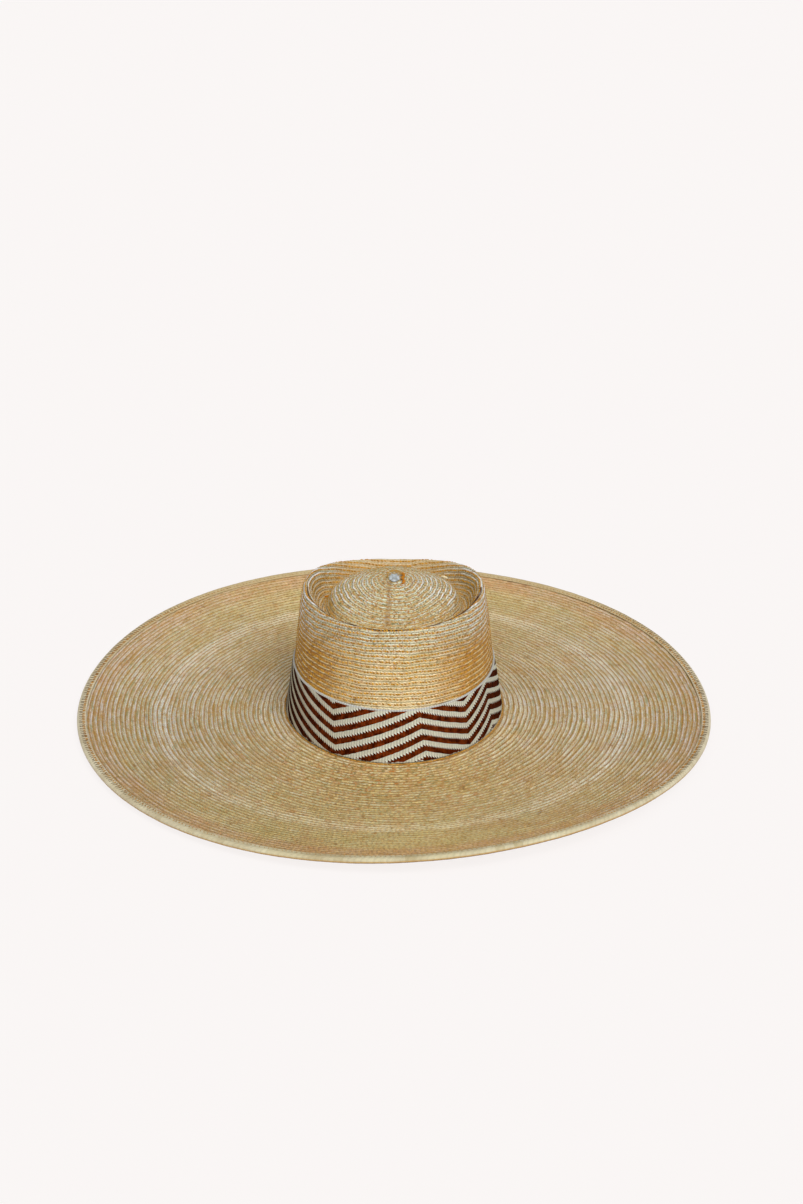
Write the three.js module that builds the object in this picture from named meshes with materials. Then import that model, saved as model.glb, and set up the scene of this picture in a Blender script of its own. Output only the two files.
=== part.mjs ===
// A wide-brim palm-braid sun hat with a telescope crown, a folded brim edge and a woven hat band.
// Millimetres, +Z up, the wearer's face towards -Y. The origin is on the surface that the hat
// rests on, under the middle of the crown.
import * as THREE from 'three';

// Driving dimensions
const STRAW_WALL = 1.6;          // two overlapping layers of sewn palm braid
const CROWN_HALF_WIDTH = 83.1;   // outside of the straw where the crown meets the brim
const CROWN_HALF_LENGTH = 102.3;
const BRIM_WIDTH = 163.8;        // from the crown's straw to the outside of the folded edge
const BRIM_DROP = 3.0;           // how far the brim dips to the ring that it rests on
const BAND_HEIGHT = 42;
const BAND_THICKNESS = 1.4;
const EDGE_LEAF = 1.0;           // one layer of the braid folded over the brim's edge
const PIECE_GAP = 0.3;
const STEPS_AROUND = 60;

// Height of the crown's foot above the resting surface
const CROWN_FOOT = BRIM_DROP + STRAW_WALL;

// The crown's outside from its foot, over the crest and down into the moat, then up the island
// to the tip. Half measures to the side, front and back, and the height above the crown's foot.
const crownRings = [
  { ring: 'foot', side: CROWN_HALF_WIDTH, front: CROWN_HALF_LENGTH, back: CROWN_HALF_LENGTH,
    sideZ: 0.3, frontZ: 0.3, backZ: 0.3 },
  { ring: 'band top', side: 76.7, front: 95.8, back: 95.3, sideZ: 42, frontZ: 42, backZ: 42 },
  { ring: 'wall', side: 73.6, front: 91.8, back: 90.4, sideZ: 72, frontZ: 72, backZ: 66 },
  { ring: 'shoulder', side: 70.9, front: 89.4, back: 86.4, sideZ: 94, frontZ: 95, backZ: 80 },
  { ring: 'crest outside', side: 69.4, front: 88.4, back: 84.6, sideZ: 100.5, frontZ: 101.2, backZ: 86.6 },
  { ring: 'crest', side: 66.8, front: 87.2, back: 82.4, sideZ: 103.2, frontZ: 102.6, backZ: 89.4 },
  { ring: 'crest inside', side: 64.3, front: 85.8, back: 80, sideZ: 100.6, frontZ: 100.9, backZ: 87.6 },
  { ring: 'moat wall', side: 59.4, front: 80.5, back: 74.4, sideZ: 89.5, frontZ: 87.5, backZ: 78.4 },
  { ring: 'moat floor', side: 54.5, front: 74, back: 68, sideZ: 84, frontZ: 81, backZ: 74.5 },
  { ring: 'island foot', side: 51, front: 68.5, back: 61.5, sideZ: 88.5, frontZ: 83.5, backZ: 81 },
  { ring: 'island side', side: 47.2, front: 60, back: 54.5, sideZ: 95.4, frontZ: 87.5, backZ: 90 },
  { ring: 'island brow', side: 41, front: 50, back: 46, sideZ: 99.8, frontZ: 91.5, backZ: 97.2 },
  { ring: 'island top', side: 26, front: 28, back: 28, sideZ: 103.6, frontZ: 99, backZ: 105.4 },
  { ring: 'round the tip', side: 10, front: 11, back: 11, sideZ: 106.3, frontZ: 104.4, backZ: 107 },
];
const TIP_HEIGHT = 107;

// The brim's upper face: the distance out from the crown's straw, and the rise above the
// crown's foot. It is level between the two rest rows, which carry the hat.
const brimProfile = [
  { place: 'under the crown', out: -STRAW_WALL, rise: 0 },
  { place: 'crown seam', out: 0.6, rise: 0 },
  { place: 'fillet', out: 6, rise: -0.4 },
  { place: 'inner field', out: 30, rise: -1.7 },
  { place: 'rest, inside', out: 58, rise: -BRIM_DROP },
  { place: 'rest, middle', out: 68, rise: -BRIM_DROP },
  { place: 'rest, outside', out: 78, rise: -BRIM_DROP },
  { place: 'pale rows', out: 97, rise: -2.4 },
  { place: 'outer field', out: 120, rise: -0.6 },
  { place: 'red rows', out: 145, rise: 2.9 },
  { place: 'cut edge', out: 162.3, rise: 5.5 },
];

// The waves of the brim's edge, which die away to the level rest rows
const edgeWaves = [
  { lobes: 1, cosine: 0.6, sine: 0.1 },
  { lobes: 2, cosine: -2.8, sine: -2.4 },
  { lobes: 3, cosine: -0.9, sine: 0.75 },
  { lobes: 4, cosine: -0.65, sine: 0.7 },
];
const WAVES_START = 78;

// The braid folded over the brim's cut edge: the distance out from the crown's straw, and the
// height above the brim's upper face there. The gap between its leaves holds the brim.
const leafTop = PIECE_GAP + EDGE_LEAF;
const leafUnder = -STRAW_WALL - PIECE_GAP;
const edgeSection = [
  { place: 'upper leaf, inner edge', out: 157, up: PIECE_GAP },
  { place: 'upper leaf, top', out: 157, up: leafTop },
  { place: 'upper shoulder', out: 161.6, up: leafTop },
  { place: 'upper fold', out: 163.2, up: leafTop - 0.7 },
  { place: 'nose', out: BRIM_WIDTH, up: -STRAW_WALL / 2 },
  { place: 'lower fold', out: 163.2, up: leafUnder - EDGE_LEAF + 0.7 },
  { place: 'lower shoulder', out: 161.6, up: leafUnder - EDGE_LEAF },
  { place: 'lower leaf, bottom', out: 157.8, up: leafUnder - EDGE_LEAF },
  { place: 'lower leaf, inner edge', out: 157.8, up: leafUnder },
  { place: 'slot, below', out: 162.6, up: leafUnder },
  { place: 'slot, above', out: 162.6, up: PIECE_GAP },
];

const angles = Array.from({ length: STEPS_AROUND }, (_, step) => (2 * Math.PI * step) / STEPS_AROUND);

// A point of an oval ring whose front and back halves have their own length and height
function ringPoint(row, angle) {
  const sine = Math.sin(angle);
  const half = sine < 0 ? row.front : row.back;
  const halfZ = sine < 0 ? row.frontZ : row.backZ;
  return new THREE.Vector3(
    row.side * Math.cos(angle),
    half * sine,
    CROWN_FOOT + row.sideZ + (halfZ - row.sideZ) * sine * sine,
  );
}

// Joins each ring to the next with triangles. A ring of one point is a pole.
function bodyFromRings(rings, closesOnItself) {
  const corners = [];
  const starts = rings.map((ring) => {
    const start = corners.length;
    corners.push(...ring);
    return start;
  });
  const faces = [];
  const joints = closesOnItself ? rings.length : rings.length - 1;
  for (let lower = 0; lower < joints; lower += 1) {
    const upper = (lower + 1) % rings.length;
    for (let step = 0; step < STEPS_AROUND; step += 1) {
      const next = (step + 1) % STEPS_AROUND;
      const corner = (ring, at) => starts[ring] + (rings[ring].length === 1 ? 0 : at);
      if (rings[lower].length > 1) faces.push(corner(lower, step), corner(lower, next), corner(upper, step));
      if (rings[upper].length > 1) faces.push(corner(lower, next), corner(upper, next), corner(upper, step));
    }
  }
  const geometry = new THREE.BufferGeometry();
  geometry.setAttribute('position', new THREE.Float32BufferAttribute(corners.flatMap((p) => p.toArray()), 3));
  geometry.setIndex(faces);
  geometry.computeVertexNormals();
  return geometry;
}

// The crown's outside rings: a smooth curve through the table's rows at each angle, sampled
// twice in each stretch. The last ring is the tip.
function crownOutside() {
  const SAMPLES_PER_ROW = 2;
  const tip = new THREE.Vector3(0, 0, CROWN_FOOT + TIP_HEIGHT);
  const curves = angles.map((angle) => new THREE.CatmullRomCurve3(
    [...crownRings.map((row) => ringPoint(row, angle)), tip], false, 'centripetal'));
  const stretches = crownRings.length * SAMPLES_PER_ROW;
  const rings = [];
  for (let sample = 0; sample < stretches; sample += 1) {
    rings.push(curves.map((curve) => curve.getPoint(sample / stretches)));
  }
  rings.push([tip]);
  return rings;
}

// The same rings one straw wall deeper, measured square to the surface
function insetRings(rings, depth) {
  const last = rings.length - 1;
  const at = (ring, step) => {
    const points = rings[ring];
    return points.length === 1 ? points[0] : points[(step + STEPS_AROUND) % STEPS_AROUND];
  };
  return rings.map((ring, index) => {
    if (ring.length === 1) return [ring[0].clone().setZ(ring[0].z - depth)];
    return ring.map((point, step) => {
      const along = at(Math.min(index + 1, last), step).clone().sub(at(Math.max(index - 1, 0), step));
      const around = at(index, step + 1).clone().sub(at(index, step - 1));
      const inwards = along.cross(around).normalize();
      // The crown's foot is cut level, so its inner corner keeps the outer corner's height
      if (index === 0) inwards.setZ(0).normalize();
      return point.clone().addScaledVector(inwards, depth);
    });
  });
}

function crown() {
  const outside = crownOutside();
  const inside = insetRings(outside, STRAW_WALL);
  return bodyFromRings([...inside.reverse(), ...outside], false);
}

// A point over the brim, at a distance out from the crown's straw and an angle round it
function brimPoint(out, z, angle) {
  const across = CROWN_HALF_LENGTH * Math.cos(angle);
  const along = CROWN_HALF_WIDTH * Math.sin(angle);
  const length = Math.hypot(across, along);
  return new THREE.Vector3(
    CROWN_HALF_WIDTH * Math.cos(angle) + (out * across) / length,
    CROWN_HALF_LENGTH * Math.sin(angle) + (out * along) / length,
    z,
  );
}

// Height of the brim's upper face, with its waves
function brimHeight(out, angle) {
  const rows = brimProfile;
  let row = rows.findIndex((next) => next.out > out) - 1;
  if (row < 0) row = rows.length - 2;
  const part = (out - rows[row].out) / (rows[row + 1].out - rows[row].out);
  const rise = rows[row].rise + part * (rows[row + 1].rise - rows[row].rise);
  const reach = Math.max(0, (out - WAVES_START) / (BRIM_WIDTH - WAVES_START)) ** 1.5;
  const wave = edgeWaves.reduce((sum, { lobes, cosine, sine }) => (
    sum + cosine * Math.cos(lobes * angle) + sine * Math.sin(lobes * angle)), 0);
  return CROWN_FOOT + rise + wave * reach;
}

function brim() {
  const face = (depth) => brimProfile.map(({ out }) => (
    angles.map((angle) => brimPoint(out, brimHeight(out, angle) - depth, angle))));
  return bodyFromRings([...face(STRAW_WALL), ...face(0).reverse()], true);
}

function edgeBinding() {
  const rings = edgeSection.map(({ out, up }) => (
    angles.map((angle) => brimPoint(out, brimHeight(out, angle) + up, angle))));
  return bodyFromRings(rings.reverse(), true);
}

// The woven band round the crown's foot, held off the straw by the gap between pieces
function hatBand() {
  const [foot, bandTop] = crownRings;
  const bandRing = (height, off) => angles.map((angle) => {
    const share = (height - foot.sideZ) / (bandTop.sideZ - foot.sideZ);
    const grown = (name) => foot[name] + share * (bandTop[name] - foot[name]) + off;
    return new THREE.Vector3(
      grown('side') * Math.cos(angle),
      grown(Math.sin(angle) < 0 ? 'front' : 'back') * Math.sin(angle),
      CROWN_FOOT + height,
    );
  });
  const BAND_FOOT = 0.8;
  const outer = PIECE_GAP + BAND_THICKNESS;
  const heights = [BAND_FOOT, BAND_HEIGHT / 2, BAND_HEIGHT];
  return bodyFromRings([
    ...heights.map((height) => bandRing(height, outer)),
    ...heights.reverse().map((height) => bandRing(height, PIECE_GAP)),
  ], true);
}

// The flat knot of braid that the crown's spiral starts from
function tipButton() {
  const RADIUS = 5.2;
  const HEIGHT = 2.2;
  const ROUNDING = 0.9;
  const outline = new THREE.Path();
  outline.moveTo(0, 0);
  outline.lineTo(RADIUS - ROUNDING, 0);
  outline.quadraticCurveTo(RADIUS, 0, RADIUS, ROUNDING);
  outline.quadraticCurveTo(RADIUS, HEIGHT, 0, HEIGHT);
  const geometry = new THREE.LatheGeometry(outline.getPoints(4), 20);
  geometry.rotateX(Math.PI / 2);
  return geometry;
}

const palmStraw = { color: 0xc2a878, roughness: 0.8, metalness: 0 };
const pieces = [
  { name: 'crown', geometry: crown(), finish: palmStraw },
  { name: 'brim', geometry: brim(), finish: { ...palmStraw, color: 0xb8a070 } },
  { name: 'edge_binding', geometry: edgeBinding(), finish: { ...palmStraw, color: 0xbcae88 } },
  { name: 'hat_band', geometry: hatBand(), finish: { color: 0x8e6a55, roughness: 0.9, metalness: 0 } },
  { name: 'tip_button', geometry: tipButton(), finish: { ...palmStraw, color: 0xb9b4a8 } },
];

const sunHat = new THREE.Group();
for (const { name, geometry, finish } of pieces) {
  const mesh = new THREE.Mesh(geometry, new THREE.MeshStandardMaterial(finish));
  mesh.name = name;
  sunHat.add(mesh);
}
sunHat.getObjectByName('tip_button').position.z = CROWN_FOOT + TIP_HEIGHT + PIECE_GAP;

export default sunHat;
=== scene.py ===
# %% [markdown]
# # A wide-brim sun hat of palm braid
# A hat like this is one long flat braid of palm leaf. The maker coils it from a small knot at the tip
# and sews every turn to the one before. The sewn cone is then steamed and pressed over a wooden block,
# which gives the telescope crown its crest, its moat and its domed island. This lesson builds it in the
# same order: coil the rows flat, then block them. The scene is in metres, in the frame of the CAD part.
# Tables and shapes are in millimetres, because that is how a hatter measures, and MM turns one into
# the other.

# %% Load the fixed frame
import math
from types import SimpleNamespace

import bmesh
import bpy
import numpy as np
from mathutils import Matrix, Vector


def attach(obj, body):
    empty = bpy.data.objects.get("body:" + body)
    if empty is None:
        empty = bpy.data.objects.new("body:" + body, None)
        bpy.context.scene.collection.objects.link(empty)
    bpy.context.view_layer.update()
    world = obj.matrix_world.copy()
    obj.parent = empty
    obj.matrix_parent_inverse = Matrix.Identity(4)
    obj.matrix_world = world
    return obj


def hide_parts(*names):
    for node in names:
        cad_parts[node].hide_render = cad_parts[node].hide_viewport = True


MM = 0.001
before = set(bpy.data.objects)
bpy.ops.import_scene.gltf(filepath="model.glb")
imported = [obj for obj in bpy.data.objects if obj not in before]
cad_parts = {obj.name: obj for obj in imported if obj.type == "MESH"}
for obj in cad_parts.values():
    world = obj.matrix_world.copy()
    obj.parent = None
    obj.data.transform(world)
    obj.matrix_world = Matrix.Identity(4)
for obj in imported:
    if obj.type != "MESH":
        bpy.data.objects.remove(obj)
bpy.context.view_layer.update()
chance = np.random.default_rng(46)

# %% [markdown]
# ## The shape of the block
# The crown is an oval whose front and back halves have their own length and height. It could be
# sculpted or lofted by hand, but a short table of rings holds the whole form and is easy to correct:
# from the foot over the crest and down into the moat, then up the island to the tip. A smooth curve
# runs through the rings at each angle. The braid's rows divide that curve into equal lengths, as real
# rows do, and so they cross the moat and the crest at a slant where the back is lower than the front.

# %% Rings of the crown
CROWN_FOOT = 4.6
CROWN_RINGS = [
    # side, front, back, side height, front height, back height
    (83.1, 102.3, 102.3, 0.3, 0.3, 0.3),
    (76.7, 95.8, 95.3, 42, 42, 42),
    (73.6, 91.8, 90.4, 72, 72, 66),
    (70.9, 89.4, 86.4, 94, 95, 80),
    (69.4, 88.4, 84.6, 100.5, 101.2, 86.6),
    (66.8, 87.2, 82.4, 103.2, 102.6, 89.4),
    (64.3, 85.8, 80, 100.6, 100.9, 87.6),
    (59.4, 80.5, 74.4, 89.5, 87.5, 78.4),
    (54.5, 74, 68, 84, 81, 74.5),
    (51, 68.5, 61.5, 88.5, 83.5, 81),
    (47.2, 60, 54.5, 95.4, 87.5, 90),
    (41, 50, 46, 99.8, 91.5, 97.2),
    (26, 28, 28, 103.6, 99, 105.4),
    (10, 11, 11, 106.3, 104.4, 107),
]
TIP = (0, 0, CROWN_FOOT + 107)


def oval_ring(ring, angle):
    """Points of one ring of the crown at these angles, in millimetres."""
    side, front, back, side_z, front_z, back_z = ring
    sine = np.sin(angle)
    half = np.where(sine < 0, front, back)
    half_z = np.where(sine < 0, front_z, back_z)
    height = CROWN_FOOT + side_z + (half_z - side_z) * sine**2
    return np.stack([side * np.cos(angle), half * sine, height], -1)


# %% A smooth curve through the rings
def smooth_through(knots, pieces):
    """A curve through the knots that never loops or swings wide, with this many pieces between two."""
    ends = 2 * knots[0] - knots[1], 2 * knots[-1] - knots[-2]
    knots = np.concatenate([ends[0][None], knots, ends[1][None]])
    share = (np.arange(pieces) / pieces)[:, None, None]
    stretches = []
    for before, start, end, after in zip(knots, knots[1:], knots[2:], knots[3:]):
        gaps = [np.sqrt(np.linalg.norm(b - a, axis=-1, keepdims=True))
                for a, b in ((before, start), (start, end), (end, after))]
        leave = gaps[1] * ((start - before) / gaps[0] - (end - before) / (gaps[0] + gaps[1])) + end - start
        arrive = gaps[1] * ((after - end) / gaps[2] - (after - start) / (gaps[1] + gaps[2])) + end - start
        cubic = 2 * (start - end) + leave + arrive
        square = 3 * (end - start) - 2 * leave - arrive
        stretches.append(start + share * (leave + share * (square + share * cubic)))
    return np.concatenate([*stretches, knots[-2][None]])


# %% The crown's surface, by share of the way from tip to foot
GRID_ANGLES = 360
GRID_SHARES = 501
KNOT_PIECES = 16
grid_angle = 2 * np.pi * np.arange(GRID_ANGLES) / GRID_ANGLES
knots = np.stack([oval_ring(ring, grid_angle) for ring in CROWN_RINGS]
                 + [np.tile(np.array(TIP, float), (GRID_ANGLES, 1))])
curves = smooth_through(knots, KNOT_PIECES)[::-1]
strides = np.linalg.norm(np.diff(curves, axis=0), axis=-1)
run = np.concatenate([np.zeros((1, GRID_ANGLES)), np.cumsum(strides, 0)])
crown_run = run[-1]
even = np.linspace(0, 1, GRID_SHARES)
crown_grid = np.stack([
    np.stack([np.interp(even, run[:, a] / run[-1, a], curves[:, a, axis]) for axis in range(3)], -1)
    for a in range(GRID_ANGLES)], 1)
print("tip to foot over the crown, mm:", round(crown_run.min(), 1), "to", round(crown_run.max(), 1))


def crown_surface(share, angle):
    """Points on the outside of the crown, in millimetres."""
    down = np.clip(share, 0, 1) * (GRID_SHARES - 1)
    row = np.minimum(down.astype(int), GRID_SHARES - 2)
    way_round = (angle / (2 * np.pi) % 1) * GRID_ANGLES
    column = way_round.astype(int) % GRID_ANGLES
    low, left = (down - row)[:, None], (way_round - np.floor(way_round))[:, None]
    after = (column + 1) % GRID_ANGLES
    upper = crown_grid[row, column] * (1 - left) + crown_grid[row, after] * left
    lower = crown_grid[row + 1, column] * (1 - left) + crown_grid[row + 1, after] * left
    return upper * (1 - low) + lower * low


# %% [markdown]
# The brim starts from the crown's oval and keeps the same width all round. It is nearly flat: it dips a
# little to the ring it rests on, then rises to an edge that waves gently, because palm braid is limp.
# A cloth simulation would give waves of its own, so a few slow lobes are written down instead, which
# follow the photograph's outline and die away towards the resting ring.

# %% The brim's surface, by distance out from the crown
CROWN_HALF_WIDTH, CROWN_HALF_LENGTH = 83.1, 102.3
BRIM_INNER, BRIM_CUT, BRIM_OUTER = -1.6, 162.3, 163.8
BRIM_RISE = [
    # distance out, rise above the crown's foot
    (BRIM_INNER, 0), (0.6, 0), (6, -0.4), (30, -1.7), (58, -3), (68, -3), (78, -3),
    (97, -2.4), (120, -0.6), (145, 2.9), (BRIM_OUTER, 5.73),
]
EDGE_WAVES = [
    # lobes, cosine, sine
    (1, 0.6, 0.1), (2, -2.8, -2.4), (3, -0.9, 0.75), (4, -0.65, 0.7),
]
WAVES_START = 78
LOOK_ALONG = 0.004


def brim_surface(out, angle):
    """Points on the upper face of the brim, in millimetres."""
    across = CROWN_HALF_LENGTH * np.cos(angle)
    along = CROWN_HALF_WIDTH * np.sin(angle)
    length = np.hypot(across, along)
    reach = np.clip((out - WAVES_START) / (BRIM_OUTER - WAVES_START), 0, None) ** 1.5
    wave = sum(c * np.cos(lobes * angle) + s * np.sin(lobes * angle) for lobes, c, s in EDGE_WAVES)
    rise = np.interp(out, *zip(*BRIM_RISE))
    return np.stack([
        CROWN_HALF_WIDTH * np.cos(angle) + out * across / length,
        CROWN_HALF_LENGTH * np.sin(angle) + out * along / length,
        CROWN_FOOT + rise + wave * reach], -1)


def square_to(surface, place, angle, nudge):
    """Directions square to a surface, pointing out of the straw."""
    down = surface(place + nudge, angle) - surface(place - nudge, angle)
    along = surface(place, angle + LOOK_ALONG) - surface(place, angle - LOOK_ALONG)
    normal = np.cross(down, along)
    return normal / np.maximum(np.linalg.norm(normal, axis=-1, keepdims=True), 1e-9)


print("brim width, mm:", round(BRIM_OUTER - BRIM_INNER, 1), "with", len(EDGE_WAVES), "slow waves")

# %% [markdown]
# ## Coiling and blocking
# One operator makes every long piece of this hat. Spin takes a closed outline, turns it round an axis
# and lifts it a little at each step, so the result is a coil laid out in plain numbers: the radius says
# which row a vertex belongs to, the height says how far round it is and how thick the straw is there.
# Blocking then moves each vertex to its place on the oval. This is simpler than bending a finished mesh,
# and each face can be told how far along the braid it lies, which the materials need.

# %% Spin an outline into a flat coil
ARCS = 12
FLAT_RADIUS = 10.0
FLAT_LIFT = 8.0
MERGE = 0.00001


def spun(outline, steps):
    """Spins (row, thickness) points into a coil: one short arc, then copies of that arc."""
    bm = bmesh.new()
    ring = [bm.verts.new((FLAT_RADIUS + row, 0, thick)) for row, thick in outline]
    edges = [bm.edges.new(pair) for pair in zip(ring, ring[1:] + ring[:1])]
    short = steps // ARCS
    bmesh.ops.spin(bm, geom=ring + edges, cent=(0, 0, 0), axis=(0, 0, 1), dvec=(0, 0, FLAT_LIFT),
                   angle=2 * math.pi / ARCS, steps=short, use_merge=False, use_duplicate=False)
    bmesh.ops.spin(bm, geom=bm.verts[:] + bm.edges[:] + bm.faces[:], cent=(0, 0, 0), axis=(0, 0, 1),
                   dvec=(0, 0, FLAT_LIFT * short), angle=2 * math.pi * (ARCS - 1) / ARCS, steps=ARCS - 1,
                   use_merge=False, use_duplicate=True)
    return bm


def flat_numbers(mesh, steps):
    """The row, turn and thickness of each vertex of a coil that is still flat."""
    flat = np.empty(len(mesh.vertices) * 3, np.float32)
    mesh.vertices.foreach_get("co", flat)
    flat = flat.reshape(-1, 3).astype(float)
    step = np.round(flat[:, 2] / FLAT_LIFT)
    row = np.round(np.hypot(flat[:, 0], flat[:, 1]) - FLAT_RADIUS, 3)
    return row, step / steps, flat[:, 2] - step * FLAT_LIFT


# %% Block a coil, and say how far along the braid its faces lie
def shown(name, mesh):
    """Links a finished mesh to the scene with smooth shading."""
    mesh.name = name
    mesh.polygons.foreach_set("use_smooth", [True] * len(mesh.polygons))
    piece = bpy.data.objects.new(name, mesh)
    bpy.context.scene.collection.objects.link(piece)
    mesh.calc_loop_triangles()
    print(f"{name}: {len(mesh.vertices)} vertices, {len(mesh.loop_triangles)} triangles")
    return piece


def coil(name, outline, steps, place, unroll, riders=()):
    """Spins an outline and blocks it with place(row, turn, thickness); riders are measures to keep."""
    bm = spun(outline, steps)
    mesh = bpy.data.meshes.new(name)
    bm.to_mesh(mesh)
    row, turn, thick = flat_numbers(mesh, steps)
    corners = np.empty(len(mesh.loops), np.int32)
    mesh.loops.foreach_get("vertex_index", corners)
    middle = np.repeat(row[corners].reshape(-1, 4).mean(1), 4)
    uv = np.stack(unroll(row[corners], turn[corners], middle), -1)
    mesh.uv_layers.new(name="braid").data.foreach_set("uv", uv.astype(np.float32).ravel())
    mesh.vertices.foreach_set("co", (place(row, turn, thick) * MM).astype(np.float32).ravel())
    for label, measure in riders:
        values = measure(row, turn, thick).astype(np.float32)
        mesh.attributes.new(label, "FLOAT", "POINT").data.foreach_set("value", values)
    bm.clear()
    bm.from_mesh(mesh)
    bmesh.ops.remove_doubles(bm, verts=bm.verts, dist=MERGE)
    bmesh.ops.dissolve_degenerate(bm, edges=bm.edges, dist=MERGE / 10)
    bmesh.ops.recalc_face_normals(bm, faces=bm.faces)
    bm.to_mesh(mesh)
    bm.free()
    return shown(name, mesh)


# %% [markdown]
# ## One row of braid
# Each row lies over the edge of the next one, like shingles. Seen across, a row starts in the step
# under its neighbour, swells, sinks where the thread pulls it down, and swells again to its free edge.
# This relief is real geometry, because it shows in the outline and in every shadow. A slow unevenness,
# the same for both faces, keeps the rows from looking turned on a lathe.

# %% The relief of a row and the waver of the rows
STITCH_SHARE = 0.46
ROW_RELIEF = [
    # share across the row, height in mm
    (0, -0.45), (0.12, -0.1), (0.28, 0.1), (STITCH_SHARE, -0.24), (0.64, 0.12), (0.92, 0.2),
]
WALL_THICK = 1.6
INSIDE_MIDDLE, LAST_CORNER = -1.66, -1.55


def row_outline(rows):
    """The closed outline of all the rows, from one before the tip: outside going out, inside back."""
    outside = [(row + share, height) for row in range(-1, rows) for share, height in ROW_RELIEF]
    inside = [(row + 0.5, INSIDE_MIDDLE) for row in range(rows - 1, -2, -1)]
    return [*outside, (rows, 0), (rows, LAST_CORNER), *inside, (-1, -WALL_THICK)]


def straw_level(thick, calm, pressed=1):
    """Heights over the block: the relief is pressed and fades at the ends, and so does the wall."""
    return np.where(thick > -1, thick * calm * pressed, -WALL_THICK + (thick + WALL_THICK) * calm)


def waver_of(lobes, sizes):
    """Slow seeded swells over rows and angle that join up after a full turn, in mm or in rows."""
    waves = [(count, size, chance.uniform(0, 6.28), chance.uniform(0.15, 0.9))
             for count, size in zip(lobes, sizes)]
    return lambda row, angle: sum(size * np.sin(count * angle + phase + row * drift)
                                  for count, size, phase, drift in waves)


# %% [markdown]
# ## The crown of braid
# Fifty rows run from the knot at the tip to the foot. The coil is a true spiral: a vertex of row five,
# half a turn round, lies five and a half rows from the tip. Rows above the first and past the last are
# squeezed to nothing, and merging doubles closes the shell there. On the real hat the block has pressed
# the island's rows flatter, most of all at its front, so the relief is lower there. Two measures ride
# along for the finish: how far a vertex is past the crest's inner edge and how far from the crease.

# %% Coil and block the crown
CROWN_ROWS = 50
CROWN_STEPS = 252
ISLAND_RELIEF, FRONT_RELIEF = 0.65, 0.3
ISLAND_ROWS, MOAT_ROWS = 12, 20
ROWS_TO_FADE = 0.6


def girths(surface, places):
    """How long each row is, all the way round, in mm."""
    all_round = np.linspace(0, 2 * np.pi, 181)
    rings = [surface(np.full(len(all_round), place), all_round) for place in places]
    return np.array([np.linalg.norm(np.diff(ring, axis=0), axis=-1).sum() for ring in rings])


def unroll_of(girth, last):
    """A function that says how far along the braid, in metres, and how far across a corner lies."""
    start = np.concatenate([[0], np.cumsum(girth)])

    def unroll(row, turn, middle):
        number = np.floor(np.clip(middle, 0, last)).astype(int)
        return (start[number] + turn * girth[np.minimum(number + 1, last)]) * MM, row + 2

    return unroll


crown_girth = girths(crown_surface, [row / CROWN_ROWS for row in range(CROWN_ROWS + 2)])
print("braid in the crown, m:", round(crown_girth[1:-1].sum() * MM, 1))
crown_lift = waver_of((3, 5, 8, 13, 21), (0.1, 0.1, 0.07, 0.05, 0.04))
crown_sway = waver_of((2, 5, 9, 17, 27), (0.08, 0.07, 0.05, 0.04, 0.03))


def fade_at_ends(place, last):
    """One along the braid, and nothing at its two ends."""
    return np.clip(place / ROWS_TO_FADE, 0, 1) * np.clip((last - place) / ROWS_TO_FADE, 0, 1)


def crown_place(row, turn, thick):
    """Where the block presses a point of the crown's coil, in millimetres."""
    angle = 2 * np.pi * turn
    spiral = np.clip(row + turn, 0, CROWN_ROWS)
    calm = fade_at_ends(spiral, CROWN_ROWS)
    share = (spiral + calm * crown_sway(spiral, angle)) / CROWN_ROWS
    normal = square_to(crown_surface, share, angle, 0.002)
    tip = spiral < 0.05
    normal[tip] = (0, 0, 1)
    island = np.interp(np.sin(angle), (-1, -0.75, -0.4), (FRONT_RELIEF, FRONT_RELIEF, ISLAND_RELIEF))
    pressed = island + (1 - island) * np.interp(spiral, (ISLAND_ROWS, MOAT_ROWS), (0, 1))
    lift = straw_level(thick, calm, pressed) + calm * crown_lift(spiral, angle)
    return crown_surface(share, angle) + normal * lift[:, None]


# %% Measures along the crest and the crease, and the crown itself
# Two measures that place the lines of painted shade: inside the front crest, and along the crease.
CREST_RING = 5.02
CREASE_LEFT, CREASE_LEAN, CREASE_SHARE = 3.2, 0.035, 0.47
FAR_OFF = 99
crest_at = len(curves) - 1 - CREST_RING * KNOT_PIECES
crest_run = np.array([np.interp(crest_at, np.arange(len(curves)), run[:, a]) for a in range(GRID_ANGLES)])


def rows_from_tip(last):
    """A measure that gives each vertex its row, counted from the tip."""
    return lambda row, turn, thick: np.clip(row + turn, 0, last)


def past_crest(row, turn, thick):
    """Millimetres from the front crest's inner edge, down towards the foot; the line thins leftwards."""
    angle = 2 * np.pi * turn
    whole, edge = (np.interp(angle, np.append(grid_angle, 2 * np.pi), np.append(of, of[0]))
                   for of in (crown_run, crest_run))
    past = np.clip(row + turn, 0, CROWN_ROWS) / CROWN_ROWS * whole - edge
    broad = np.clip(0.85 + 0.5 * np.cos(angle), 0.45, 1.05)
    return np.where(np.sin(angle) < -0.05, past / broad, FAR_OFF)


def from_crease(row, turn, thick):
    """Millimetres to the side of the crease that runs from the knot to the front of the crest."""
    share = np.clip(row + turn, 0, CROWN_ROWS) / CROWN_ROWS
    spot = crown_surface(share, 2 * np.pi * turn)
    on_front = (spot[:, 1] < -3) & (share < CREASE_SHARE)
    return np.where(on_front, spot[:, 0] + CREASE_LEFT - CREASE_LEAN * spot[:, 1], FAR_OFF)


crown_braid = coil("crown_braid", row_outline(CROWN_ROWS), CROWN_STEPS, crown_place,
                   unroll_of(crown_girth, CROWN_ROWS),
                   [("rows_out", rows_from_tip(CROWN_ROWS)), ("past_crest", past_crest),
                    ("from_crease", from_crease)])

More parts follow.
